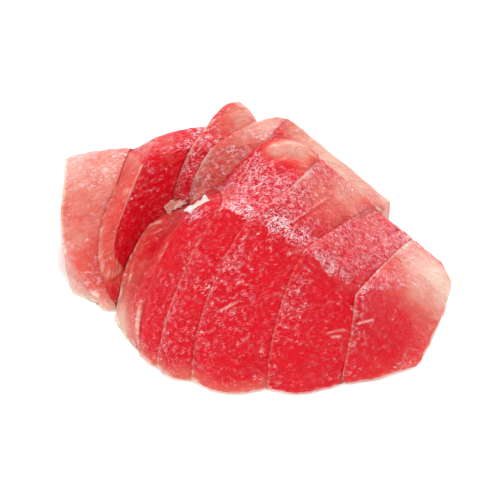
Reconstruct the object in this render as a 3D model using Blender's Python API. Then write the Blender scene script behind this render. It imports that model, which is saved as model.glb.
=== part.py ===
"""Tuna sashimi: a portion of raw tuna cut into broad slices that still lie against each other.

Two rows of slices stand one behind the other and run from left (-X) to right (+X). Every slice
is a soft plate: its front half hangs down to the ground towards -Y, its top half lies back over
the crest, and each slice leans on the one to its left, so only a strip of it is left bare.

A slice is a loft between two unlike ribs, its own left edge and the edge of the next slice. The
cut between two slices runs down from that edge to the ground, leaning to the right.
"""

import bmesh
import bpy
import numpy as np

# Driving dimensions, in millimetres until scaled. X right, Y back from the front foot, Z up.
MM = 0.001
GAP = 0.4              # clear space between two slices, measured along X
SEAM_GAP = 0.3         # clear space that each row keeps from the seam between the rows
TOE = 1.5              # thickness of a slice's rim where it meets the ground
TOE_TUCK = 0.7         # how far the rim draws in below
FRONT_LEAN = 0.34      # sideways run of a cut for each unit of height, in the front row
BACK_LEAN = 0.08       # the same in the back row
END_LEAN = 0.2         # inward run of the bare ends of a row, for each unit of height
FRONT_STEPS = 9        # spans from the foot to the crest
TOP_STEPS = 8          # spans from the crest to the tip
BACK_STEPS = 7         # spans from the tip down the back
FINE = 10              # samples in each span before the crest is rounded
SEAM_FINE = 12         # samples between two points of the seam
CREST_ROUND = 2.2      # rounding of the crisp crest, in samples
TIP_ROUND = 5.5        # rounding of the softer far corner, in samples
CREST_REACH = 16.0     # samples to either side of the crest that stay crisp
WAVER = 0.35           # unevenness of the flesh
FULL_STEP_HEIGHT = 7.0 # height above the ground from which a slice stands fully proud
LOW_STEP = 0.2         # share of that at the ground
PLEAT_RUN = 0.03       # half the width of a pleat's fold, as a share of the slice's width
WELD = 0.02            # points this close are one
TIP_REACH = 3.2        # how many spans to either side of the tip the lobe swells
LOBE_BACK = 0.6        # share of the lobe that reaches back, and
LOBE_UP = 0.9          # the share that rises
LOBE_ROUND = 0.75      # how full a lobe is: lower is fuller at its sides
REAR_SWELL = -1.8      # swell of the far side, away from the row
END_SWELL = 1.0        # swell of a row's two end faces
EDGE_RUN = 0.07        # share of a slice's width taken by its rounded left shoulder

# The line along which the two rows meet: where it lies in plan and how high it runs.
SEAM = (
    (-46.0, 31.5, 0.0), (-42.3, 35.8, 0.6), (-40.2, 46.2, 8.6), (-37.0, 51.0, 12.5),
    (-33.5, 55.6, 17.4), (-28.8, 58.6, 20.2), (-23.0, 59.6, 22.4), (-16.0, 59.9, 25.8),
    (-11.0, 60.3, 29.5), (-3.0, 62.0, 38.0), (5.0, 63.6, 44.0), (11.5, 64.2, 45.6),
    (20.0, 63.0, 42.0), (28.4, 62.0, 34.0), (38.3, 62.0, 24.0), (43.4, 61.6, 17.2),
    (54.0, 58.0, 9.8), (64.5, 53.6, 3.0), (70.0, 51.0, 1.0),
)

# Each slice by its left edge. foot: where it stands, crest: its highest fold, tip: its far end.
# sway bows the front of the edge sideways, bow swells it outwards, arch lifts the top half.
# step: how far the slice stands proud of its left neighbour, toe: how far its foot runs forward,
# crown: swell across the middle, lip: thickness of its far rim, pleat: (place, height) of a fold.
FRONT_ROW = (
    {"name": "front_slice_1", "foot": (-35.6, 19.6), "crest": (-42.6, 31.5, 2.4),
     "tip": (-41.6, 42.5, 2.4), "sway": -0.6, "bow": 0.0, "arch": 0.0, "slide": 0.0,
     "step": 0.0, "toe": 0.0, "crown": 2.6, "lip": 1.2, "lobe": 0.0, "pleat": None},
    {"name": "front_slice_2", "foot": (-34.4, 15.2), "crest": (-19.6, 45.0, 33.4),
     "tip": (-15.9, 59.5, 26.0), "sway": -3.2, "bow": 2.2, "arch": 1.0, "slide": 0.0,
     "step": 1.8, "toe": 0.9, "crown": 0.8, "lip": 2.2, "lobe": 1.2, "pleat": None},
    {"name": "front_slice_3", "foot": (-29.0, 10.0), "crest": (-8.5, 37.3, 43.0),
     "tip": (-11.4, 60.0, 30.0), "sway": -2.2, "bow": 2.8, "arch": 1.5, "slide": 1.0,
     "step": 1.3, "toe": 2.6, "crown": 0.6, "lip": 2.4, "lobe": 1.5, "pleat": (0.55, 0.8)},
    {"name": "front_slice_4", "foot": (-18.2, 4.2), "crest": (-0.3, 31.3, 43.4),
     "tip": (21.4, 62.0, 40.5), "sway": -2.6, "bow": 3.0, "arch": 0.6, "slide": 2.6,
     "step": 1.9, "toe": 4.2, "crown": 0.7, "lip": 1.6, "lobe": 0.0, "pleat": (0.52, 1.5)},
    {"name": "front_slice_5", "foot": (4.9, 0.7), "crest": (15.7, 24.0, 36.0),
     "tip": (40.0, 62.0, 22.5), "sway": -1.4, "bow": 3.0, "arch": 0.8, "slide": 0.0,
     "step": 1.7, "toe": 3.4, "crown": 0.6, "lip": 1.5, "lobe": 0.0, "pleat": (0.5, 1.0)},
    {"name": "front_slice_6", "foot": (27.2, 2.7), "crest": (32.0, 18.6, 22.8),
     "tip": (52.0, 58.8, 12.3), "sway": 1.2, "bow": 2.2, "arch": 1.2, "slide": 0.0,
     "step": 1.7, "toe": 1.8, "crown": 0.8, "lip": 1.2, "lobe": 0.0, "pleat": (0.5, 0.7)},
)
FRONT_END = {"foot": (51.4, 10.8), "crest": (64.9, 46.8, 3.0), "tip": (61.8, 50.6, 3.3),
             "sway": 1.0, "bow": 0.0, "arch": 0.0, "slide": 0.6}

BACK_ROW = (
    {"name": "back_slice_1", "foot": (-50.8, 41.6), "crest": (-59.3, 61.2, 29.5),
     "tip": (-60.1, 82.0, 27.4), "heel": (-57.5, 86.5), "sway": -4.9, "bow": 2.0,
     "arch": 1.5, "slide": 0.0, "step": 0.0, "toe": 2.4, "crown": 1.2, "lobe": 0.9,
     "grounded": True, "rear": 1.6, "pleat": None},
    {"name": "back_slice_2", "foot": (-40.0, 48.0), "crest": (-32.7, 62.2, 42.4),
     "tip": (-31.1, 74.0, 42.0), "heel": (-38.0, 87.5), "sway": -3.9, "bow": 0.8,
     "arch": 1.2, "slide": 0.0, "step": 0.4, "toe": 0.0, "crown": 1.0, "lobe": 0.7,
     "grounded": False, "rear": 3.0, "pleat": None,
     "under": {"foot": (-42.4, 36.0), "crest": (-42.8, 61.5, 31.0), "tip": (-38.6, 79.0, 34.5),
               "heel": (-43.5, 88.5), "sway": -6.0, "bow": 1.2, "arch": 1.0, "slide": 0.0,
               "grounded": True}},
    {"name": "back_slice_3", "foot": (-25.6, 59.6), "crest": (-18.8, 63.9, 44.4),
     "tip": (-11.6, 77.0, 45.0), "heel": (-21.0, 91.0), "sway": -0.6, "bow": 0.6,
     "arch": 1.0, "slide": 0.0, "step": 0.9, "toe": 0.0, "crown": 0.4, "lobe": 6.8,
     "grounded": False, "rear": 1.0, "pleat": None},
    {"name": "back_slice_4", "foot": (-19.8, 59.8), "crest": (-11.9, 63.6, 44.7),
     "tip": (3.4, 75.4, 46.6), "heel": (-6.5, 89.5), "sway": -1.2, "bow": 0.8,
     "arch": 0.8, "slide": 0.0, "step": 1.7, "toe": 0.0, "crown": 0.5, "lobe": 0.9,
     "grounded": False, "rear": 2.2, "pleat": None},
    {"name": "back_slice_5", "foot": (-2.2, 62.3), "crest": (4.4, 66.4, 44.6),
     "tip": (12.8, 79.0, 46.2), "heel": (5.0, 91.5), "sway": 0.0, "bow": 0.6,
     "arch": 0.8, "slide": 0.0, "step": 1.1, "toe": 0.0, "crown": 0.9, "lobe": 0.3,
     "grounded": False, "rear": 2.6, "pleat": None},
)
BACK_END = {"foot": (42.0, 62.2), "crest": (43.6, 64.4, 20.2), "tip": (45.4, 69.6, 18.6),
            "heel": (42.0, 75.0), "sway": 0.0, "bow": 0.3, "arch": 0.5, "slide": 0.0,
            "grounded": False}

# Outward direction in which a slice stands proud of its neighbour, for each row.
FRONT_OUT = np.array((-0.25, -0.55, 0.80))
BACK_OUT = np.array((-0.30, -0.60, 0.74))
REAR_OUT = np.array((-0.35, 0.72, 0.60))     # the same on the far side of the back row

# Colour of each slice's flesh, as linear red, green and blue.
FLESH = {
    "front_slice_1": (0.76, 0.10, 0.09), "front_slice_2": (0.68, 0.05, 0.06),
    "front_slice_3": (0.68, 0.05, 0.07), "front_slice_4": (0.66, 0.04, 0.06),
    "front_slice_5": (0.70, 0.05, 0.07), "front_slice_6": (0.82, 0.19, 0.16),
    "back_slice_1": (0.84, 0.17, 0.14), "back_slice_2": (0.74, 0.07, 0.07),
    "back_slice_3": (0.74, 0.08, 0.08), "back_slice_4": (0.70, 0.07, 0.08),
    "back_slice_5": (0.90, 0.38, 0.30),
}
WET_ROUGHNESS = 0.28
SHARP = 0.7            # edges sharper than this, in radians, stay crisp


def clear_scene():
    for item in list(bpy.data.objects):
        bpy.data.objects.remove(item, do_unlink=True)


def smooth_run(corners, count):
    """A smooth curve through the corners, as count points for each span."""
    pts = np.array(corners, float)
    pts = np.vstack([2 * pts[0] - pts[1], pts, 2 * pts[-1] - pts[-2]])
    run = []
    for i in range(1, len(pts) - 2):
        a, b, c, d = pts[i - 1:i + 3]
        for t in np.arange(count) / count:
            run.append(0.5 * (2 * b + (c - a) * t + (2 * a - 5 * b + 4 * c - d) * t ** 2
                              + (3 * b - a - 3 * c + d) * t ** 3))
    run.append(pts[-2])
    return np.array(run)


def beside_seam(side):
    """The seam moved off its own line, forward (-1) or back (1), to leave the rows apart."""
    run = smooth_run(SEAM, SEAM_FINE)
    along = np.gradient(run[:, :2], axis=0)
    along /= np.linalg.norm(along, axis=1)[:, None]
    run[:, 0] -= side * SEAM_GAP * along[:, 1]
    run[:, 1] += side * SEAM_GAP * along[:, 0]
    return run


FRONT_SEAM = beside_seam(-1.0)
BACK_SEAM = beside_seam(1.0)


def seam_at(run, x):
    """Place and height of a row's own side of the seam, above a given X."""
    return np.interp(x, run[:, 0], run[:, 1]), np.interp(x, run[:, 0], run[:, 2])


def kept_clear(points, back):
    """The points, with none of them past their row's side of the seam."""
    line = seam_at(BACK_SEAM if back else FRONT_SEAM, points[:, 0])[0]
    points[:, 1] = np.maximum(points[:, 1], line) if back else np.minimum(points[:, 1], line)
    return points


def leg(start, end, out, side, spans):
    """A span of a rib that swells outwards by out and sideways by side."""
    t = np.linspace(0.0, 1.0, spans * FINE + 1)[:, None]
    chord = end - start
    level = np.hypot(chord[0], chord[1])
    away = np.array([-chord[0] * chord[2], -chord[1] * chord[2], level ** 2])
    away /= max(np.linalg.norm(away), 1e-9)
    swell = 4 * t * (1 - t)
    return start + chord * t + swell * (out * away + np.array([side, 0.0, 0.0]))


def eased(run, width):
    """The run with its corners eased over a width in samples, and its two ends kept."""
    reach = int(3 * width)
    bell = np.exp(-0.5 * (np.arange(-reach, reach + 1) / width) ** 2)
    head = 2 * run[0] - run[reach:0:-1]
    tail = 2 * run[-1] - run[-2:-reach - 2:-1]
    long = np.vstack([head, run, tail])
    bell /= bell.sum()
    return np.stack([np.convolve(long[:, i], bell, "valid") for i in range(3)], 1)


def rounded(run):
    """The run with a crisp crest and softer corners elsewhere."""
    soft = eased(run, TIP_ROUND)
    away = (np.arange(len(run)) - FRONT_STEPS * FINE) / CREST_REACH
    return soft + np.exp(-away ** 2)[:, None] * (eased(run, CREST_ROUND) - soft)


def rib(size):
    """The line over a slice: foot, crest, tip and, where the slice has one, its heel."""
    foot = np.array([*size["foot"], TOE])
    crest = np.array(size["crest"], float)
    tip = np.array(size["tip"], float)
    if "heel" in size and not size["grounded"]:
        foot[2] = max(seam_at(BACK_SEAM, foot[0])[1], TOE)
    legs = [leg(foot, crest, size["bow"], size["sway"], FRONT_STEPS),
            leg(crest, tip, size["arch"], size["slide"], TOP_STEPS)[1:]]
    if "heel" in size:
        heel = np.array([*size["heel"], TOE])
        legs.append(leg(tip, heel, REAR_SWELL, 0.0, BACK_STEPS)[1:])
    return rounded(np.vstack(legs))[::FINE]


def proud(u):
    """How proud of its neighbour a slice stands, from its left edge (0) to its right (1)."""
    shoulder = np.clip(u / EDGE_RUN, 0.0, 1.0)
    return (0.55 + 0.45 * np.sqrt(shoulder)) * (1.0 - u) ** 1.4


def stations(pleat):
    """Where across a slice its ribs stand, closer together beside a pleat."""
    places = [0.0, 0.035, EDGE_RUN, 0.22, 0.4, 0.6, 0.8, 1.0]
    if pleat:
        places = [p for p in places if abs(p - pleat[0]) > 2 * PLEAT_RUN]
        places += [pleat[0] - PLEAT_RUN, pleat[0] + PLEAT_RUN]
    return sorted(places)


def unevenness(points):
    """Gentle hollows and swells, the same for a given place."""
    x, y, z = points.T
    return (np.sin(0.31 * x + 0.12 * z) * np.sin(0.27 * y + 0.2 * z + 1.0)
            + 0.6 * np.sin(0.55 * x - 0.4 * y + 2.0))


def shaped(size, left, right, u, out):
    """The rib at u, between the slice's own left edge and the next slice's."""
    count = len(left)
    place = np.arange(count)
    over = (1 - u) * left + u * right
    inside = 4 * u * (1 - u)
    lift = np.clip(over[:, 2] / FULL_STEP_HEIGHT, LOW_STEP, 1.0)
    top = np.clip((place - FRONT_STEPS) / 2.0, 0.0, 1.0)
    swell = size["step"] * proud(u) + size["crown"] * inside
    if size["pleat"]:
        at, height = size["pleat"]
        past = np.clip((u - at) / PLEAT_RUN, -1.0, 1.0) * 0.5 + 0.5
        swell = swell + height * top * past * (1 - u) / (1 - at)
    swell = swell + WAVER * inside * unevenness(over)
    behind = np.clip((place - FRONT_STEPS - TOP_STEPS) / 3.0, 0.0, 1.0)[:, None]
    over = over + (lift * swell)[:, None] * ((1 - behind) * out + behind * REAR_OUT)
    reach = np.clip(1 - place / FRONT_STEPS, 0.0, 1.0) ** 2
    over[:, 1] -= size["toe"] * inside * reach
    return over


def to_front_seam(over, size, inside):
    """Draws the far rim of a front slice to the seam, with its rim lying proud of it."""
    y, z = seam_at(FRONT_SEAM, over[-1, 0])
    share = np.clip((np.arange(len(over)) - FRONT_STEPS) / TOP_STEPS, 0.0, 1.0) ** 2
    over[:, 1] += share * (y - over[-1, 1])
    over[:, 2] += share * (z + size["lip"] + size["lobe"] * inside - over[-1, 2])
    over[0, 2] = TOE
    return over


def to_back_seam(over, size, inside):
    """Draws the near rim of a back slice to the seam, and swells its far end by the lobe."""
    place = np.arange(len(over))
    if size["grounded"]:
        over[0, 2] = TOE
    else:
        y, z = seam_at(BACK_SEAM, over[0, 0])
        share = np.clip(1 - place / FRONT_STEPS, 0.0, 1.0) ** 1.5
        over[:, 1] += share * (y - over[0, 1])
        over[:, 2] += share * (max(z, TOE) - over[0, 2])
    tip = FRONT_STEPS + TOP_STEPS
    near = np.exp(-((place - tip) / TIP_REACH) ** 2) * inside ** LOBE_ROUND
    fall = np.clip((place - tip) / BACK_STEPS, 0.0, 1.0) ** 1.5
    over[:, 1] += LOBE_BACK * size["lobe"] * near + size["rear"] * inside * fall
    over[:, 2] += LOBE_UP * size["lobe"] * near
    over[-1, 2] = TOE
    return over


def ground_below(over, back, lean):
    """Where the cut below a rib meets the ground."""
    share = np.sin(np.linspace(0.0, np.pi, len(over))) ** 2
    low = over.copy()
    low[:, 0] += lean * over[:, 2] * share
    low[:, 2] = 0.0
    low[0, 1] += TOE_TUCK if over[0, 2] <= TOE + 0.01 else 0.0
    low[-1, 1] -= TOE_TUCK if back else 0.0
    return low


def end_face(top, low, side):
    """A line half way down the end of a row, swollen outwards."""
    share = np.sin(np.linspace(0.0, np.pi, len(top)))
    line = (top + low) / 2
    line[:, 0] += side * END_SWELL * share * np.clip(top[:, 2] / 20.0, 0.0, 1.0)
    return line


def cap(body, over, inner, low, way):
    """Closes one side of a slice with strips between the lines of a cut, facing left (1)."""
    lines = [over, low] if inner is None else [over, inner, low]
    faces = []
    for upper, lower in zip(lines, lines[1:]):
        for i in range(len(upper) - 1):
            faces.append((lower[i], lower[i + 1], upper[i + 1]))
            faces.append((lower[i], upper[i + 1], upper[i]))
    if inner is not None:
        faces += [(inner[-1], low[-1], over[-1]), (over[0], low[0], inner[0])]
    for face in faces:
        body.faces.new(face[::way])


def loft(name, tops, lows, left_line, right_line):
    """One closed body: ribs over the ground, the cut on either side and a flat base."""
    rings = [np.vstack([top, low[::-1]]) for top, low in zip(tops, lows)]
    size = len(rings[0])
    half = size // 2
    mesh = bpy.data.meshes.new(name)
    body = bmesh.new()
    verts = [[body.verts.new(p * MM) for p in ring] for ring in rings]
    for near, far in zip(verts, verts[1:]):
        for i in range(size):
            j = (i + 1) % size
            body.faces.new((near[i], near[j], far[j], far[i]))
    for line, ring, way in ((left_line, verts[0], 1), (right_line, verts[-1], -1)):
        inner = None if line is None else [body.verts.new(p * MM) for p in line]
        cap(body, ring[:half], inner, ring[:half - 1:-1], way)
    bmesh.ops.remove_doubles(body, verts=body.verts, dist=WELD * MM)
    if body.calc_volume(signed=True) < 0:
        bmesh.ops.reverse_faces(body, faces=body.faces)
    body.to_mesh(mesh)
    body.free()
    return mesh


def flesh(name):
    material = bpy.data.materials.new(name + "_flesh")
    material.use_nodes = True
    shader = material.node_tree.nodes["Principled BSDF"]
    shader.inputs["Base Color"].default_value = (*FLESH[name], 1.0)
    shader.inputs["Roughness"].default_value = WET_ROUGHNESS
    shader.inputs["Metallic"].default_value = 0.0
    material.diffuse_color = (*FLESH[name], 1.0)
    return material


def build_row(row, end, out, back, collection):
    """Every slice of a row, from the left; each starts from the cut its neighbour ends in."""
    made = []
    cut = None
    fit = to_back_seam if back else to_front_seam
    for size, after in zip(row, (*row[1:], end)):
        left = rib(size)
        right = rib(after.get("under", after))
        spots = stations(size["pleat"])
        tops = [fit(shaped(size, left, right, u, out), size, 4 * u * (1 - u)) for u in spots]
        tops = [kept_clear(top, back) for top in tops]
        shift = np.array([0.0 if cut is None else GAP, 0.0, 0.0])
        lean = BACK_LEAN if back else FRONT_LEAN
        if cut is None:
            near = ground_below(tops[0], back, END_LEAN)
        else:
            near = ground_below(cut, back, lean) + shift
        far = ground_below(tops[-1], back, -END_LEAN if after is end else lean)
        tops = [kept_clear(top + shift * (1 - u), back) for u, top in zip(spots, tops)]
        lows = [kept_clear((1 - u) * near + u * far, back) for u in spots]
        for low in lows:
            if back and not size["grounded"]:
                low[0, 1] = seam_at(BACK_SEAM, low[0, 0])[0]
            if not back:
                low[-1, 1] = seam_at(FRONT_SEAM, low[-1, 0])[0]
        start = end_face(tops[0], lows[0], -1.0) if cut is None else cut + shift
        start = kept_clear(start, back)
        stop = end_face(tops[-1], lows[-1], 1.0) if after is end else None
        mesh = loft(size["name"], tops, lows, start, stop)
        mesh.shade_smooth()
        mesh.set_sharp_from_angle(angle=SHARP)
        mesh.materials.append(flesh(size["name"]))
        piece = bpy.data.objects.new(size["name"], mesh)
        collection.objects.link(piece)
        made.append(piece)
        cut = tops[-1]
    return made


def centre_on_ground(pieces):
    """Moves the whole portion so that it stands with the middle of its footprint at the origin."""
    low = np.min([np.min([v.co for v in p.data.vertices], 0) for p in pieces], 0)
    high = np.max([np.max([v.co for v in p.data.vertices], 0) for p in pieces], 0)
    middle = (low + high) / 2
    for piece in pieces:
        for vertex in piece.data.vertices:
            vertex.co.x -= middle[0]
            vertex.co.y -= middle[1]
            vertex.co.z -= low[2]


def main():
    clear_scene()
    collection = bpy.data.collections.new("tuna_sashimi")
    bpy.context.scene.collection.children.link(collection)
    pieces = build_row(FRONT_ROW, FRONT_END, FRONT_OUT, False, collection)
    pieces += build_row(BACK_ROW, BACK_END, BACK_OUT, True, collection)
    centre_on_ground(pieces)


main()
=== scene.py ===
import math

import bpy
import numpy as np
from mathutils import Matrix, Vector
from mathutils.bvhtree import BVHTree


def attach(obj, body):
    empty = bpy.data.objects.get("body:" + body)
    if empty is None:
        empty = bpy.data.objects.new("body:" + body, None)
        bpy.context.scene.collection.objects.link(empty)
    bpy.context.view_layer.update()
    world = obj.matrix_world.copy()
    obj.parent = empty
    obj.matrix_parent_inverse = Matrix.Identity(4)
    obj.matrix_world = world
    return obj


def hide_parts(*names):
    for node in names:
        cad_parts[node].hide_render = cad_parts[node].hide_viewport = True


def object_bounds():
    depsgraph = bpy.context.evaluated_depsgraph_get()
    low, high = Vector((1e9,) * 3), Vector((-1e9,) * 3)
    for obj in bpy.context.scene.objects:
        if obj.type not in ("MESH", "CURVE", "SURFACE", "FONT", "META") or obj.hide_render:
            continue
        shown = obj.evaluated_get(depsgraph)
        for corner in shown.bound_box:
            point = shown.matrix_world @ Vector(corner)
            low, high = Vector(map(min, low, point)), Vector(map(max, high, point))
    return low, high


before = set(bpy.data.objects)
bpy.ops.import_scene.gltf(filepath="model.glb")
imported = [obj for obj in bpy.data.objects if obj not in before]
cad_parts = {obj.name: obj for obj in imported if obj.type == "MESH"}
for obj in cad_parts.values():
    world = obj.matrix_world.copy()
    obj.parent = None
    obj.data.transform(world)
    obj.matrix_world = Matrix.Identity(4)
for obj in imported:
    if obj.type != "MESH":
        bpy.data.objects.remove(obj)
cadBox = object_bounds()
print("frame loaded")

mm = 0.001
sheetUp = np.array((0, 0.643, 0.766))    # up a sheet that leans back 40 degrees
sheetIn = np.array((0, 0.766, -0.643))   # square to it, away from the camera


def only(piece):  # nothing selected but this piece
    bpy.ops.object.select_all(action="DESELECT")
    piece.select_set(True)
    bpy.context.view_layer.objects.active = piece


def pointsOf(mesh):  # every vertex, in millimetres
    flat = np.empty(len(mesh.vertices) * 3, np.float32)
    mesh.vertices.foreach_get("co", flat)
    return flat.reshape(-1, 3).astype(float) / mm


def normalsOf(mesh):
    flat = np.empty(len(mesh.vertices) * 3, np.float32)
    mesh.vertices.foreach_get("normal", flat)
    return flat.reshape(-1, 3).astype(float)


def putPoints(mesh, points):
    mesh.vertices.foreach_set("co", (points * mm).astype(np.float32).ravel())
    mesh.update()


def grain(points, size, seed=0):  # smooth noise from -1 to 1 in lumps about as big as size
    place = points / size + seed * 17.31
    cell = np.floor(place).astype(np.int64)
    share = place - cell
    share = share * share * (3 - 2 * share)
    total = np.zeros(len(points))
    for corner in range(8):  # a number from each corner of the cell, scrambled by large primes
        bits = np.array([corner & 1, corner >> 1 & 1, corner >> 2 & 1])
        at = cell + bits
        mixed = at[:, 0] * 73856093 ^ at[:, 1] * 19349663 ^ at[:, 2] * 83492791 ^ seed * 2654435
        mixed = (mixed ^ mixed >> 13) * 1274126177
        value = ((mixed ^ mixed >> 16) & 0xFFFF) / 32767.5 - 1
        total += value * np.prod(np.where(bits == 1, share, 1 - share), axis=1)
    return total


def grains(points, layers, seed, start=0.0, share=1.0):  # noise in layers of (size, amount)
    total = start
    for i, (size, amount) in enumerate(layers):
        total = total + amount * share * grain(points, size, seed + i)
    return total


def glow(distance, radius):  # 1 at no distance, nearly 0 at twice the radius
    return np.exp(-(distance / radius) ** 2)


def nearLine(points, line):  # distance to a line through a few corners
    best = np.full(len(points), 1e9)
    corners = np.array(line, float)
    for start, end in zip(corners, corners[1:]):
        run = end - start
        share = np.clip((points - start) @ run / max(run @ run, 1e-9), 0, 1)
        best = np.minimum(best, np.linalg.norm(points - start - share[:, None] * run, axis=1))
    return best


def fade(value, low, high):  # 0 below low, 1 above high, smooth between
    share = np.clip((value - low) / (high - low), 0, 1)
    return share * share * (3 - 2 * share)


def paint(mesh, name, values):  # an attribute that the material reads
    layer = mesh.attributes.new(name, "FLOAT", "POINT")
    layer.data.foreach_set("value", values.astype(np.float32))


def link(tree, source, target):
    tree.links.new(source, target)


def addNode(tree, kind, **inputs):
    node = tree.nodes.new(kind)
    for key, value in inputs.items():
        node.inputs[key].default_value = value
    return node


fleshValues = {
    "deepRed": (0.70, 0.0008, 0.010),
    "red": (0.73, 0.007, 0.018),
    "salmon": (0.77, 0.120, 0.088),
    "palePink": (0.84, 0.430, 0.335),
    "cream": (0.92, 0.720, 0.570),
    "sinew": (0.95, 0.860, 0.800),
    "paintedShade": (0.50, 0.0008, 0.016),     # painted shade on the sheen-painted flesh, between the wet threads
    "seam": (0.92, 0.015, 0.025),      # painted shade, a glowing deep red, between two slices
    "paintedGlint": (0.94, 0.640, 0.680),     # painted glint: pinkish white of the wet threads
    "roughness": 0.34,
    "specular": 0.05,
    "coat": 0.52,
    "coatRoughness": 0.10,
    "see": 0.45,               # share of the light that travels through the flesh
    "depth": 0.0028,           # how far it travels, in metres
    "depthColours": (1.0, 0.20, 0.12),     # red travels furthest
    "bend": 1.4,               # index of refraction of the flesh
    "coatBend": 1.38,          # and of the wet on it
    # each noise is (scale, detail, roughness, distortion)
    "threads": (1250.0, 1.0, 0.5, 0.9),    # crooked wet threads
    "threadWidth": 0.095,
    "threadHeight": 0.00012,
    "drawn": (2.3, 1.0, 1.0),  # how far the threads are drawn out
    "turned": (0.0, -0.35, 0.15),          # along a line that rises to the right
    "breaks": (620.0, 1.0, 0.5, 0.4),      # breaks in the threads
    "breakRange": (0.46, 0.84),
    "paintedSheenBreaks": 0.34,        # how far the painted sheen heals them
    "sparks": (240.0, 0.5, 0.5, 1.0),      # places where the painted glints on the threads shine most
    "sparkRange": (0.60, 0.72),
    "sparkShare": 0.6,
    "paintedSheenShare": 1.05,         # how much the painted glints show in full painted sheen
    "clearShare": 0.12,        # and where there is none
    "wrinkles": (330.0, 1.5, 0.5, 1.2),
    "wrinkleHeight": 0.00110,
    "clouds": (120.0, 3.0, 0.55, 0.6),     # soft clouds of paler and redder flesh
    "cloudShare": 0.36,
    "rimShare": 0.58,          # how much paler the painted highlight on a rim makes it
    "paintedShadeFrom": 0.90,          # flesh paler than this gets no painted shade under the painted sheen
    "stops": ((0.0, "deepRed"), (0.22, "red"), (0.48, "salmon"), (0.72, "palePink"),
              (1.0, "cream")),
}


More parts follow.
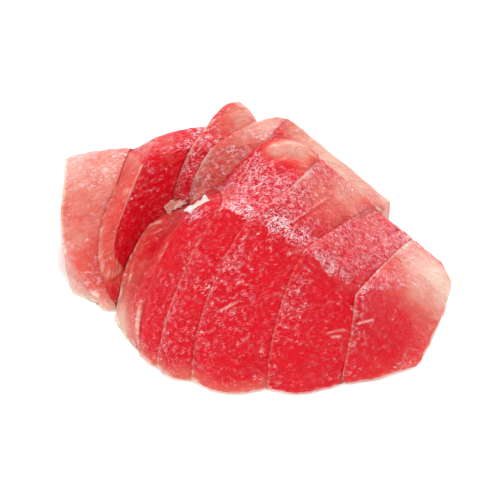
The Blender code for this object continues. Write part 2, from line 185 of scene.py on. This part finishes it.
def fleshMaterial():
    values = fleshValues
    material = bpy.data.materials.new("wet_tuna_flesh")
    material.use_nodes = True
    tree = material.node_tree
    shader = tree.nodes["Principled BSDF"]
    place = tree.nodes.new("ShaderNodeTexCoord").outputs["Object"]

    def attribute(name):
        node = tree.nodes.new("ShaderNodeAttribute")
        node.attribute_name = name
        return node.outputs["Fac"]

    drawn = addNode(tree, "ShaderNodeMapping", Rotation=values["turned"], Scale=values["drawn"])
    drawn.vector_type = "TEXTURE"
    link(tree, place, drawn.inputs["Vector"])

    def noise(scale, detail, rough, distortion, where=place):
        node = addNode(tree, "ShaderNodeTexNoise", Scale=scale, Detail=detail, Roughness=rough,
                       Distortion=distortion)
        link(tree, where, node.inputs["Vector"])
        return node.outputs["Fac"]

    def combine(operation, first, second, clamp=False):
        node = tree.nodes.new("ShaderNodeMath")
        node.operation = operation
        node.use_clamp = clamp
        for socket, value in zip(node.inputs, (first, second)):
            if isinstance(value, (int, float)):
                socket.default_value = value
            else:
                link(tree, value, socket)
        return node.outputs[0]

    def between(value, low, high, top=1.0):  # 0 below low, top above high
        node = tree.nodes.new("ShaderNodeMapRange")
        node.interpolation_type = "SMOOTHSTEP"
        node.inputs["From Min"].default_value = low
        node.inputs["From Max"].default_value = high
        node.inputs["To Max"].default_value = top
        link(tree, value, node.inputs["Value"])
        return node.outputs["Result"]

    def mixed(share, base, name):  # towards one of the colours above
        node = tree.nodes.new("ShaderNodeMix")
        node.data_type = "RGBA"
        link(tree, share, node.inputs["Factor"])
        link(tree, base, node.inputs["A"])
        node.inputs["B"].default_value = (*values[name], 1.0)
        return node.outputs["Result"]

    # painted glints on the wet threads: thin crooked lines in short bits, more of them where the
    # painted sheen is strong
    paintedSheen = attribute("paintedSheen")
    wrinkles = noise(*values["wrinkles"], drawn.outputs["Vector"])
    threads = noise(*values["threads"], drawn.outputs["Vector"])
    threads = combine("ABSOLUTE", combine("SUBTRACT", threads, 0.5), 0.0)
    threads = between(threads, values["threadWidth"], 0.01)
    breaks = noise(*values["breaks"])
    breaks = combine("ADD", breaks, combine("MULTIPLY", paintedSheen, values["paintedSheenBreaks"]))
    wet = combine("MULTIPLY", threads, between(breaks, *values["breakRange"]))
    sparks = between(noise(*values["sparks"]), *values["sparkRange"], values["sparkShare"])
    share = combine("ADD", combine("MULTIPLY", paintedSheen, values["paintedSheenShare"]), values["clearShare"])
    wet = combine("MULTIPLY", wet, combine("ADD", share, sparks), clamp=True)

    # colour: from deep red to cream by the painted paleness, with soft clouds
    cloud = combine("SUBTRACT", noise(*values["clouds"]), 0.5)
    cloud = combine("MULTIPLY", cloud, values["cloudShare"])
    # painted highlight: lit and translucent edges are made paler
    rim = combine("MULTIPLY", attribute("rim"), values["rimShare"])
    pale = combine("ADD", combine("ADD", attribute("cream"), cloud), rim, clamp=True)
    ramp = tree.nodes.new("ShaderNodeValToRGB")
    link(tree, pale, ramp.inputs["Fac"])
    stops = values["stops"]
    while len(ramp.color_ramp.elements) < len(stops):
        ramp.color_ramp.elements.new(0.5)
    for element, (position, name) in zip(ramp.color_ramp.elements, stops):
        element.position = position
        element.color = (*values[name], 1.0)
    # painted shade: deep red where two slices meet
    colour = mixed(attribute("seam"), ramp.outputs["Color"], "seam")
    # painted shade: the sheen-painted flesh is darker between its painted glints
    darker = combine("SUBTRACT", values["paintedShadeFrom"], pale, clamp=True)
    colour = mixed(combine("MULTIPLY", paintedSheen, darker), colour, "paintedShade")
    # painted glints: the wet threads turn pinkish white
    colour = mixed(wet, colour, "paintedGlint")
    colour = mixed(attribute("sinew"), colour, "sinew")
    link(tree, colour, shader.inputs["Base Color"])

    # relief: the threads on fine wrinkles
    height = combine("MULTIPLY", threads, values["threadHeight"])
    height = combine("ADD", height, combine("MULTIPLY", wrinkles, values["wrinkleHeight"]))
    bump = addNode(tree, "ShaderNodeBump", Strength=1.0, Distance=1.0)
    link(tree, height, bump.inputs["Height"])
    link(tree, bump.outputs["Normal"], shader.inputs["Normal"])
    link(tree, bump.outputs["Normal"], shader.inputs["Coat Normal"])

    shader.inputs["Roughness"].default_value = values["roughness"]
    shader.inputs["Specular IOR Level"].default_value = values["specular"]
    shader.inputs["IOR"].default_value = values["bend"]
    shader.inputs["Coat Weight"].default_value = values["coat"]
    shader.inputs["Coat Roughness"].default_value = values["coatRoughness"]
    shader.inputs["Coat IOR"].default_value = values["coatBend"]
    shader.inputs["Subsurface Weight"].default_value = values["see"]
    shader.inputs["Subsurface Radius"].default_value = values["depthColours"]
    shader.inputs["Subsurface Scale"].default_value = values["depth"]
    return material


flesh = fleshMaterial()
print("flesh material made")

# Each slice, in millimetres. cream: how pale it is, 0 deep red to 1 cream. paintedSheen and
# topPaintedSheen: how much painted sheen, whitish painted glints on its wet threads, it has in
# front and on top. hem: how uneven its lower rim is. foot: painted light, how much paler it is
# painted near the ground, where light shows through the thin lower rim. crumple: how much rougher
# it is. edge: share of the painted highlight on its left edge. spots and paintedSheenSpots: (x, y,
# z, radius, change) of cream and painted sheen. grooves: (half width, depth, corners), where a
# negative depth stands up. paleLines: (half width, strength, corners) of painted highlights.
# scratches: the corners of fine white ones.
sliceLooks = {
    "front_slice_1": {
        "slot": "salmon_pink_flesh",
        "cream": 0.30, "paintedSheen": 0.22, "topPaintedSheen": 0.30, "hem": 0.7, "foot": 0.1, "crumple": 2.2,
        "spots": [(-44, -4, 8, 9, 0.16), (-43, -18, 4, 8, 0.40), (-32, -16, 12, 7, -0.20),
                  (-36, 8, 18, 5, 0.06), (-31, 0, 21, 6, -0.16)],
        "grooves": [(0.9, 0.7, [(-30.1, 10.4, 21.6), (-31.5, 3.4, 20.6), (-33.9, -3.6, 18.4)]),
                    (1.0, -0.5, [(-37.1, 7.4, 16.8), (-39.9, -0.6, 12.6), (-40.9, -9.6, 8.0)])],
        "paleLines": [(0.6, 0.8, [(-37.9, 8.3, 16.4), (-35.4, 10.8, 18.2), (-30.1, 10.8, 21.8)]),
                      (0.5, 0.5, [(-37.6, 6.0, 16.6), (-39.8, -2.0, 12.6), (-41.0, -10.0, 8.0)])],
    },
    "front_slice_2": {
        "slot": "red_flesh",
        "cream": 0.10, "paintedSheen": 0.23, "topPaintedSheen": 0.55, "hem": 0.35, "foot": 0.4,
        "paintedSheenSpots": [(-20.6, -8, 35, 6, 0.2)],
    },
    "front_slice_3": {
        "slot": "red_flesh",
        "cream": 0.11, "paintedSheen": 0.23, "topPaintedSheen": 0.62, "hem": 0.4, "foot": 0.4,
        "spots": [(4.5, 14, 47, 3.5, 0.42), (9.5, 15.5, 47.6, 5, 0.42), (14.5, 15, 45.6, 5, 0.30),
                  (18, 11, 43, 8, 0.24)],
        "paintedSheenSpots": [(-5.3, -11, 43.5, 5, 0.35), (4.5, 14, 47, 4, -0.5),
                      (9.5, 15, 47.6, 6, -0.6), (14.5, 14, 45.6, 6, -0.5),
                      (16, 8, 44, 6, -0.3)],
        "grooves": [(1.2, -0.7, [(3.2, 14.2, 47.1), (9.5, 16.4, 47.8), (15.0, 16.7, 45.8)]),
                    (1.0, 0.7, [(4.7, 10.6, 46.8), (9.3, 12.4, 47.0), (14.0, 12.4, 45.6)])],
        "paleLines": [(0.5, 0.6, [(3.2, 14.2, 47.1), (9.5, 16.4, 47.8), (15.0, 16.7, 45.8),
                                  (18.4, 15.4, 43.3)])],
    },
    "front_slice_4": {
        "slot": "red_flesh",
        "cream": 0.08, "paintedSheen": 0.20, "topPaintedSheen": 0.60, "hem": 0.4, "foot": 0.4,
        "spots": [(20, 6, 37, 14, 0.40), (33, 14, 27, 12, 0.34)],
        "paintedSheenSpots": [(8, -15, 40, 5, 0.4), (-8, -30, 30, 12, 0.14), (5, -27, 33, 6, -0.2),
                      (4, -42, 12, 10, -0.1)],
        "grooves": [(0.7, 0.5, [(6.5, -17.4, 40.4), (9.9, -14.1, 40.0), (13.6, -10.1, 39.2),
                                (17.8, -3.9, 37.7), (21.0, 0.4, 36.2)])],
        "scratches": [[(-11.3, -34.0, 22.8), (-8.6, -33.3, 24.2), (-5.9, -32.8, 25.4)],
                      [(-6.2, -29.2, 29.4), (-4.4, -28.5, 30.5)],
                      [(9.2, -22.5, 35.7), (12.9, -21.3, 35.8)]],
    },
    "front_slice_5": {
        "slot": "red_flesh",
        "cream": 0.05, "paintedSheen": 0.12, "topPaintedSheen": 0.62, "hem": 0.4, "foot": 0.12,
        "spots": [(36, 6, 24, 10, 0.22), (38, 14, 22, 8, 0.16)],
        "paintedSheenSpots": [(19.6, -22, 32.2, 4, 0.3), (10, -30, 26, 9, 0.14)],
        "grooves": [(0.8, 0.4, [(35.1, -5.5, 23.1), (40.5, 5.0, 19.6), (45.9, 13.6, 15.3)])],
        "scratches": [[(21.1, -37.0, 16.5), (23.8, -36.0, 16.5), (26.6, -35.1, 16.1)],
                      [(22.6, -37.4, 15.3), (25.4, -36.5, 14.8)]],
    },
    "front_slice_6": {
        "slot": "salmon_pink_flesh",
        "cream": 0.14, "paintedSheen": 0.10, "topPaintedSheen": 0.55, "hem": 0.3, "foot": 0.12,
        "spots": [(62, -2, 4, 11, 0.52), (54, 6, 8, 11, 0.34), (48, -2, 14, 9, 0.34),
                  (44, 12, 14, 8, 0.2), (58, -18, 3, 9, 0.18), (40, -16, 19, 7, 0.18),
                  (49, -14, 12, 7, 0.34)],
        "paintedSheenSpots": [(32, -25.6, 22.7, 4, 0.3), (29, -34, 16, 6, 0.2), (60, -2, 5, 12, -0.4),
                      (55, -26, 3, 9, -0.45)],
        "scratches": [[(30.0, -33.8, 17.3), (32.5, -31.8, 16.4), (35.1, -29.8, 15.4)]],
    },
    "back_slice_1": {
        "slot": "salmon_pink_flesh",
        "cream": 0.55, "paintedSheen": 0.24, "topPaintedSheen": 0.75, "hem": 1.0, "foot": 0.18, "crumple": 1.5,
        "spots": [(-62, 0, 4, 8, 0.10), (-50, -4, 1, 8, -0.08), (-60, 30, 30, 11, 0.16),
                  (-48, 10, 14, 9, -0.08), (-50, 0, 12, 7, -0.14)],
        "paintedSheenSpots": [(-58, 20, 29, 7, 0.15), (-50, 20, 31, 6, 0.2), (-58, 0, 5, 8, 0.4)],
        "paleLines": [(1.0, 0.5, [(-58, -4, 0.5), (-52, -6, 0.5), (-45, -8, 0.5)])],
    },
    "back_slice_2": {
        "slot": "red_flesh",
        "cream": 0.07, "paintedSheen": 0.12, "topPaintedSheen": 0.66, "hem": 0.3, "foot": 0.1, "edge": 0.5,
        "spots": [(-29, 22, 43, 10, 0.24), (-38, 26, 40, 6, 0.10), (-46.6, -6, 4, 5.5, -0.26)],
        "paintedSheenSpots": [(-33, 15, 38, 8, 0.2)],
        "grooves": [(0.8, 0.6, [(-49.5, -1.4, 11.0), (-47.0, -3.6, 9.0), (-44.6, -2.6, 8.4),
                                (-43.0, -0.6, 8.9)])],
        "paleLines": [(0.45, 0.9, [(-35.9, 15.3, 40.4), (-38.1, 12.8, 35.5), (-39.8, 11.1, 31.7),
                                   (-41.7, 9.1, 27.2), (-44.1, 5.8, 21.7), (-45.1, 3.4, 17.6),
                                   (-45.0, 1.5, 14.0), (-43.2, 1.0, 10.9)]),
                      (0.7, 0.45, [(-50.2, 0.4, 14.4), (-48.8, -1.5, 12.0), (-46.8, -2.5, 10.4),
                                  (-44.4, -1.4, 9.8), (-42.9, 0.9, 10.3)])],
    },
    "back_slice_3": {
        "slot": "red_flesh",
        "cream": 0.18, "paintedSheen": 0.40, "topPaintedSheen": 0.60, "hem": 0.3, "foot": 0.1,
        "spots": [(-5, 29, 50, 10, 0.42), (-12, 20, 46, 6, 0.04)],
        "paintedSheenSpots": [(-5, 29, 51, 7, -0.4)],
    },
    "back_slice_4": {
        "slot": "red_flesh",
        # painted light: its cream is raised to lift the shade that front_slice_3 casts on it
        "cream": 0.50, "paintedSheen": 0.66, "topPaintedSheen": 0.70, "hem": 0.3, "foot": 0.1, "edge": 0.4,
        "spots": [(4, 28, 47, 8, 0.2)],
    },
    "back_slice_5": {
        "slot": "pale_flesh",
        "cream": 0.66, "paintedSheen": 0.20, "topPaintedSheen": 0.30, "hem": 0.3, "foot": 0.0, "edge": 0.1,
        "spots": [(3, 23, 48, 9, -0.50), (24, 22, 38, 14, 0.16), (40, 20, 22, 10, -0.06)],
        "paintedSheenSpots": [(3, 23, 48, 10, 0.5)],
        "paleLines": [(0.5, 0.7, [(33.3, 14.6, 27.9), (35.9, 15.8, 25.2), (40.9, 18.4, 18.0)])],
    },
}

reliefValues = {
    "levels": 3,
    "sharpAngle": 34.0,    # edges sharper than this are creased
    "crispAngle": 55.0,    # and from here on they are creased fully
    "rimFacing": -0.55,    # a bare left edge faces at least this far to the left
    "rimFrom": 0.8,        # and starts this far above the ground
    "searchGap": 2.0,      # a neighbour further away than this isn't looked for
    "touchGap": 1.6,       # a slice swells towards a neighbour nearer than this
    "touchShare": 0.6,     # by this share of the gap
    "closeGap": 0.50,      # but no further than this
    "uneven": ((9.0, 0.26), (3.4, 0.16), (1.6, 0.10)),  # (size, height) of swells, lumps and pits
    "calm": (0.3, 2.0),    # gaps between which the flesh is calmer, as slices touch there
    "hemWaves": ((3.2, 1.0), (1.5, 0.6)),  # (size, share) of the lower rim's waves
    "hemRange": (1.5, 5.0),  # heights between which they end
}

# What is painted on a slice: paleness, painted sheen, painted highlights on edges, painted light
# at the feet and painted shade in seams
paintValues = {
    "backRed": 0.24,               # how much redder the side away from the camera is
    "backRange": (0.3, 0.8),
    "foldFacing": np.array((0.10, 0.35, 0.93)),
    "foldRange": (0.58, 0.65),     # what faces that way at least this much is the top
    "bareRange": (0.36, 0.48),     # just before the fold the painted sheen is left off and the red is bare
    "bareShare": 0.75,
    "paintedSheenGrain": ((7.0, 0.45),),   # clouds in the painted sheen, as (size, amount)
    "paintedSheenStart": 0.8,
    "stripPaintedSheen": 0.7,              # how much less painted sheen the strip has
    "edgeWidth": 0.85,             # of the painted highlight on the left edge
    "edgeGrain": ((5.0, 0.3),),
    "edgeStart": 0.85,
    "edgeGaps": (0.35, 0.9),       # it fades where a neighbour is nearer than this
    "edgePaintedSheen": 0.18,              # painted sheen beside it
    "edgePaintedSheenWidth": 4.0,
    "footRange": (1.5, 8.5),       # heights between which the painted light on the foot ends
    "footGrain": ((5.0, 1.2),),
    "rimRange": (0.4, 2.4),        # heights between which the painted light on the rim at the ground ends
    "rimGrain": ((4.0, 0.3),),
    "rimStart": 0.6,
    "seam": 0.5,                   # how much painted deep red shade the flesh gets beside a neighbour
    "seamWidth": 0.80,
    "seamRange": (1.0, 4.0),       # heights between which the painted seam shade starts
    "scratchWidth": 0.24,
    "scratchGrain": ((1.1, 0.6),),
    "scratchStart": 0.5,
}

# The bare cut edge of the upright slice: a raised pale strip left of this line, which is given
# from its lower end up as (x, place along the sheet).
stripValues = {
    "node": "back_slice_2",
    "right": [(-40.0, 5.0), (-43.2, 9.0), (-45.0, 11.7), (-45.1, 15.7), (-44.1, 20.4),
              (-41.7, 26.7), (-39.8, 31.4), (-38.1, 35.4), (-35.9, 40.8), (-37.4, 43.4),
              (-40.3, 45.6)],
    "height": 0.6,
    # cream: how much paler the strip is painted, for its own paler cut flesh and as painted light
    # that the raised edge catches
    "cream": 0.34,
}


def fleshCopy(name):  # the node's solid as one welded mesh of quads
    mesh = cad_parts[name].data.copy()
    mesh.materials.clear()
    piece = bpy.data.objects.new(name + "_flesh", mesh)
    bpy.context.scene.collection.objects.link(piece)
    only(piece)
    bpy.ops.object.mode_set(mode="EDIT")
    bpy.ops.mesh.select_all(action="SELECT")
    bpy.ops.mesh.remove_doubles(threshold=0.00001)
    bpy.ops.mesh.customdata_custom_splitnormals_clear()
    bpy.ops.mesh.tris_convert_to_quads(face_threshold=math.radians(50),
                                       shape_threshold=math.radians(70))
    bpy.ops.object.mode_set(mode="OBJECT")
    return piece


def sharpEdges(mesh):  # (index, angle, the two face normals) of each sharp edge
    sides = {}
    for face in mesh.polygons:
        for key in face.edge_keys:
            sides.setdefault(key, []).append(np.array(face.normal))
    found = []
    for edge in mesh.edges:
        pair = sides.get(tuple(sorted(edge.vertices)), [])
        if len(pair) == 2:
            angle = math.degrees(math.acos(np.clip(pair[0] @ pair[1], -1, 1)))
            if angle > reliefValues["sharpAngle"]:
                found.append((edge.index, angle, pair))
    return found


def creaseAndFindRim(mesh):  # creases the sharp edges and returns points along the bare left edge
    crease = mesh.attributes.new("crease_edge", "FLOAT", "EDGE")
    points = pointsOf(mesh)
    rim = []
    for index, angle, pair in sharpEdges(mesh):
        crease.data[index].value = min(1.0, angle / reliefValues["crispAngle"])
        left = min(pair[0][0], pair[1][0])
        ends = points[list(mesh.edges[index].vertices)]
        if left < reliefValues["rimFacing"] and ends[:, 2].min() > reliefValues["rimFrom"]:
            rim += [ends[0] + (ends[1] - ends[0]) * share for share in np.linspace(0, 1, 6)]
    return np.array(rim).reshape(-1, 3)


def neighbourTree(name):  # every other node's surface, for closing the gaps between slices
    corners, faces = [], []
    for other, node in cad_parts.items():
        if other == name:
            continue
        start = len(corners)
        corners += [vertex.co.copy() for vertex in node.data.vertices]
        faces += [[start + i for i in face.vertices] for face in node.data.polygons]
    return BVHTree.FromPolygons(corners, faces)


def closeGaps(points, name):  # moves the points, and returns how far each was from a neighbour
    values = reliefValues
    tree = neighbourTree(name)
    gaps = np.full(len(points), 9.0)
    for i, point in enumerate(points):
        hit = tree.find_nearest(Vector(point * mm), values["searchGap"] * mm)
        if hit[0] is None or hit[3] <= 1e-7:
            continue
        towards = np.array(hit[0]) / mm - point
        gaps[i] = far = hit[3] / mm
        if far < values["touchGap"]:
            step = min(far * values["touchShare"], values["closeGap"])
            points[i] = point + towards / far * step
    return points, gaps


def stripShare(points):  # 1 on the raised strip, 0 off it
    line = np.array(stripValues["right"])
    along = points @ sheetUp
    return fade(np.interp(along, line[:, 1], line[:, 0]) - points[:, 0], -0.15, 0.45)


def relief(points, normals, looks, name, gaps, seed):
    values = reliefValues
    height = grains(points, values["uneven"], seed, share=looks.get("crumple", 1.0))
    height *= 0.2 + 0.8 * fade(gaps, *values["calm"])
    for width, depth, line in looks.get("grooves", ()):
        height -= depth * glow(nearLine(points, line), width)
    if name == stripValues["node"]:
        height += stripValues["height"] * (stripShare(points) - 1)
    raised = fade(points[:, 2], 0.0, 1.0)  # the base stays flat
    moved = points + normals * (height * raised)[:, None]
    low = 1 - fade(points[:, 2], *values["hemRange"])
    flat = np.array((1, 1, 0))
    wave = looks["hem"] * low * grains(points * flat, values["hemWaves"], seed + 5)
    return moved + normals * flat * (wave * fade(points[:, 2], -0.1, 0.3))[:, None]


def near(points, spots, start):  # a level that changes round a few places
    level = start + np.zeros(len(points))
    for x, y, z, radius, change in spots:
        away = np.linalg.norm(points - (x, y, z), axis=1)
        level += change * glow(away, radius)
    return level


def paintSlice(mesh, name, looks, rim, gaps, facing, seed):
    values = paintValues
    points = pointsOf(mesh)
    up = points[:, 2]

    cream = near(points, looks.get("spots", ()), looks["cream"])
    cream -= values["backRed"] * fade(facing[:, 1], *values["backRange"])
    # painted light: paler near the ground, where light shows through the thin lower rim and lifts
    # the shade at the foot
    footLine = grains(points, values["footGrain"], seed + 4, start=up)
    cream += looks["foot"] * (1 - fade(footLine, *values["footRange"]))

    # painted sheen: whitish wet glints painted on, more where the surface faces up as the top
    upward = facing @ values["foldFacing"]
    top = fade(upward, *values["foldRange"])
    level = looks["paintedSheen"] + (looks["topPaintedSheen"] - looks["paintedSheen"]) * top
    paintedSheen = near(points, looks.get("paintedSheenSpots", ()), level)
    paintedSheen *= grains(points, values["paintedSheenGrain"], seed + 9, start=values["paintedSheenStart"])
    paintedSheen *= 1 - values["bareShare"] * fade(upward, *values["bareRange"]) * (1 - top)
    if name == stripValues["node"]:
        strip = stripShare(points)
        cream += stripValues["cream"] * strip
        paintedSheen *= 1 - values["stripPaintedSheen"] * strip

    # painted highlight on the bare left edge, which catches the light, and painted sheen beside it
    edge = np.zeros(len(points))
    if len(rim):
        away = np.full(len(points), 1e9)
        for point in rim[::2]:
            away = np.minimum(away, np.linalg.norm(points - point, axis=1))
        edge = grains(points, values["edgeGrain"], seed + 7, start=values["edgeStart"])
        edge *= glow(away, values["edgeWidth"])
        edge *= looks.get("edge", 1.0) * (0.3 + 0.7 * fade(gaps, *values["edgeGaps"]))
        paintedSheen += values["edgePaintedSheen"] * glow(away, values["edgePaintedSheenWidth"]) * (1 - top)
    # painted light on the rim at the ground
    ground = grains(points, values["rimGrain"], seed + 8, start=values["rimStart"])
    edge = np.maximum(edge, ground * (1 - fade(up, *values["rimRange"])))
    # painted highlights along the pale lines
    for width, strength, line in looks.get("paleLines", ()):
        edge = np.maximum(edge, strength * glow(nearLine(points, line), width))
    # painted shade: deep red beside a neighbouring slice, less under a painted highlight
    seam = values["seam"] * glow(gaps, values["seamWidth"]) * fade(up, *values["seamRange"])

    white = np.zeros(len(points))
    for line in looks.get("scratches", ()):
        white = np.maximum(white, glow(nearLine(points, line), values["scratchWidth"]))
    broken = grains(points, values["scratchGrain"], seed + 4, start=values["scratchStart"])

    paint(mesh, "cream", np.clip(cream, 0, 1))
    paint(mesh, "paintedSheen", np.clip(paintedSheen, 0, 1))
    paint(mesh, "rim", edge)
    paint(mesh, "seam", seam * (1 - np.clip(edge * 1.5, 0, 1)))
    paint(mesh, "sinew", white * np.clip(broken, 0, 1))


def makeSlice(name, looks, seed):
    piece = fleshCopy(name)
    rim = creaseAndFindRim(piece.data)
    only(piece)
    smooth = piece.modifiers.new("smooth", "SUBSURF")
    smooth.levels = smooth.render_levels = reliefValues["levels"] - 0
    bpy.ops.object.modifier_apply(modifier=smooth.name)
    mesh = piece.data
    points, gaps = closeGaps(pointsOf(mesh), name)
    putPoints(mesh, points)
    facing = normalsOf(mesh)
    shaped = relief(points, facing, looks, name, gaps, seed)
    low, high = (np.array(corner) / mm for corner in cadBox)
    putPoints(mesh, np.clip(shaped, low, high))
    paintSlice(mesh, name, looks, rim, gaps, facing, seed)
    mesh.materials.append(flesh)
    mesh.shade_smooth()
    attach(piece, "root")
    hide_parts(name)
    return piece


slices = {}
for count, (name, looks) in enumerate(sliceLooks.items()):
    slices[name] = makeSlice(name, looks, 10 * count + 3)
    print(name, "has", len(slices[name].data.polygons), "faces")


# Scraps of sinew that cling to the flesh, each by its two long sides from left to right, drawn
# like the strip's line on the sheet, and laid from there on the flesh. lift: how far they stand
# off it. reach: they bridge hollows deeper than this.
scrapValues = {
    "white_sinew": {
        "cream": 0.85, "white": 0.80, "lift": 0.5, "thick": 0.6, "reach": 1.6,
        "upper": [(-22.8, 26.6), (-20.4, 28.4), (-17.9, 29.8), (-16.2, 30.2), (-14.6, 29.6)],
        "lower": [(-22.6, 26.0), (-20.6, 25.7), (-18.4, 26.4), (-16.4, 27.3), (-14.4, 28.9)],
    },
    "cream_flap": {
        "cream": 0.62, "white": -0.3, "lift": 1.1, "thick": 0.7, "reach": 1.6,
        "upper": [(-29.4, 27.4), (-28.0, 29.0), (-26.1, 29.8), (-24.4, 29.7), (-22.2, 29.2)],
        "lower": [(-29.0, 26.6), (-27.1, 25.8), (-25.6, 27.2), (-23.7, 28.3), (-22.2, 28.5)],
    },
}
scrapRelief = {                                # (size, amount) of what both have
    "ragged": ((1.5, 0.60), (0.6, 0.35)),
    "bumpy": ((1.2, 0.18), (0.6, 0.08)),
    "mottled": ((1.6, 0.7),),
    "paintedSheen": 0.1,
}


def scrapOutline(along, across, values, seed):  # points of a ragged scrap on the sheet
    stops = np.linspace(0, 1, len(values["upper"]))
    lower, upper = (np.stack([np.interp(along, stops, column) for column in zip(*values[side])], 1)
                    for side in ("lower", "upper"))
    place = lower * (1 - across)[:, None] + upper * across[:, None]
    middle = (lower + upper) / 2
    spots = np.stack([place[:, 0], place[:, 1], np.zeros(len(place))], 1)
    ragged = grains(spots, scrapRelief["ragged"], seed, start=1.0)
    place = middle + (place - middle) * ragged[:, None]
    return np.array((1, 0, 0)) * place[:, :1] + sheetUp * place[:, 1:]


def layOnFlesh(sheet, values):
    drop = []
    for start in sheet:
        eye = Vector(start * mm - sheetIn * 0.2)  # well in front of the portion
        hits = [piece.ray_cast(eye, Vector(sheetIn)) for piece in slices.values()]
        ends = [np.array(hit[1]) / mm for hit in hits if hit[0]]
        drop.append(min((end - start) @ sheetIn for end in ends))
    middle = np.median(drop)
    drop = np.clip(drop, middle - values["reach"], middle + values["reach"])
    return sheet + sheetIn * (drop - values["lift"])[:, None]


def makeScrap(name, values, seed):
    bpy.ops.object.select_all(action="DESELECT")
    bpy.ops.mesh.primitive_grid_add(x_subdivisions=34, y_subdivisions=16, size=2)
    piece = bpy.context.active_object
    piece.name = name
    flat = pointsOf(piece.data) * mm
    along, across = (flat[:, 0] + 1) / 2, (flat[:, 1] + 1) / 2
    sheet = scrapOutline(along, across, values, seed)
    putPoints(piece.data, layOnFlesh(sheet, values))
    solid = piece.modifiers.new("thickness", "SOLIDIFY")
    solid.thickness = values["thick"] * mm
    bpy.ops.object.modifier_apply(modifier=solid.name)
    smooth = piece.modifiers.new("smooth", "SUBSURF")
    smooth.levels = smooth.render_levels = 1
    bpy.ops.object.modifier_apply(modifier=smooth.name)
    only(piece)
    bpy.ops.object.mode_set(mode="EDIT")
    bpy.ops.mesh.select_all(action="SELECT")
    bpy.ops.mesh.normals_make_consistent(inside=False)
    bpy.ops.object.mode_set(mode="OBJECT")
    mesh = piece.data
    points = pointsOf(mesh)
    bumpy = grains(points, scrapRelief["bumpy"], seed + 2)
    putPoints(mesh, points + normalsOf(mesh) * bumpy[:, None])
    white = grains(points, scrapRelief["mottled"], seed + 4, start=values["white"])
    paint(mesh, "cream", np.full(len(points), values["cream"]))
    paint(mesh, "paintedSheen", np.full(len(points), scrapRelief["paintedSheen"]))
    paint(mesh, "rim", np.zeros(len(points)))
    paint(mesh, "seam", np.zeros(len(points)))
    paint(mesh, "sinew", np.clip(white, 0, 1))
    mesh.materials.append(flesh)
    mesh.shade_smooth()
    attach(piece, "root")


for count, (name, values) in enumerate(scrapValues.items()):
    makeScrap(name, values, 900 + 10 * count)
print("scraps of sinew made")


setValues = {
    "floorSize": 3.0,
    "floorColour": (0.96, 0.96, 0.96),
    "floorGlow": 0.22,         # the floor is a lit white table
    "target": (-0.002245, -0.001971, 0.020),
    "distance": 0.700,
    "elevation": 40.0,
    "lens": 160.5,
    "lightAim": (0, 0, 0.02),
    "skyBack": 0.62,           # the sky is brighter behind the portion than in front of it
    "skyFront": 0.34,
    "skyRange": (-0.6, 0.8),
}

# Soft lights: name, place, size and power
lightValues = (
    ("back_softbox", (0.10, 0.65, 0.50), (0.26, 0.12), 4.0),
    ("low_back_softbox", (0.25, 0.75, 0.18), (0.40, 0.08), 1.6),
    ("key_softbox", (0.05, -0.34, 0.80), (0.12, 0.12), 3.2),
    ("left_softbox", (-0.62, -0.30, 0.48), (0.22, 0.18), 1.8),
    ("front_softbox", (0.35, -0.70, 0.30), (0.12, 0.06), 0.8),
)


def makeFloor():
    bpy.ops.object.select_all(action="DESELECT")
    bpy.ops.mesh.primitive_plane_add(size=setValues["floorSize"], location=(0, 0, 0))
    floor = bpy.context.active_object
    floor.name = "pale_floor"
    material = bpy.data.materials.new("pale_floor")
    material.use_nodes = True
    shader = material.node_tree.nodes["Principled BSDF"]
    shader.inputs["Base Color"].default_value = (*setValues["floorColour"], 1.0)
    shader.inputs["Roughness"].default_value = 0.9
    shader.inputs["Specular IOR Level"].default_value = 0.0
    shader.inputs["Emission Color"].default_value = (1.0, 1.0, 1.0, 1.0)
    shader.inputs["Emission Strength"].default_value = setValues["floorGlow"]
    floor.data.materials.append(material)


def makeSky():
    world = bpy.data.worlds.new("studio")
    bpy.context.scene.world = world
    world.use_nodes = True
    tree = world.node_tree
    background = tree.nodes["Background"]
    where = tree.nodes.new("ShaderNodeTexCoord")
    split = tree.nodes.new("ShaderNodeSeparateXYZ")
    link(tree, where.outputs["Generated"], split.inputs["Vector"])
    spread = tree.nodes.new("ShaderNodeMapRange")
    spread.inputs["From Min"].default_value = setValues["skyRange"][0]
    spread.inputs["From Max"].default_value = setValues["skyRange"][1]
    spread.inputs["To Min"].default_value = setValues["skyFront"]
    spread.inputs["To Max"].default_value = setValues["skyBack"]
    link(tree, split.outputs["Y"], spread.inputs["Value"])
    link(tree, spread.outputs["Result"], background.inputs["Strength"])
    background.inputs["Color"].default_value = (1.0, 1.0, 1.0, 1.0)


def makeLight(name, place, size, power):
    data = bpy.data.lights.new(name, "AREA")
    data.shape = "RECTANGLE"
    data.size, data.size_y = size
    data.energy = power
    lamp = bpy.data.objects.new(name, data)
    bpy.context.scene.collection.objects.link(lamp)
    lamp.location = place
    aim = Vector(setValues["lightAim"]) - Vector(place)
    lamp.rotation_euler = aim.to_track_quat("-Z", "Y").to_euler()


def makeCamera():
    data = bpy.data.cameras.new("camera")
    data.lens = setValues["lens"]
    data.sensor_width = 36.0
    data.clip_end = 20.0
    camera = bpy.data.objects.new("camera", data)
    bpy.context.scene.collection.objects.link(camera)
    rise = math.radians(setValues["elevation"])
    target = Vector(setValues["target"])
    away = Vector((0.0, -math.cos(rise), math.sin(rise)))
    camera.location = target + away * setValues["distance"]
    camera.rotation_euler = (-away).to_track_quat("-Z", "Y").to_euler()
    bpy.context.scene.camera = camera


makeFloor()
makeSky()
for name, place, size, power in lightValues:
    makeLight(name, place, size, power)
makeCamera()
bpy.context.scene.view_settings.view_transform = "Standard"
bpy.context.scene.view_settings.look = "None"
print("floor, light and camera made")
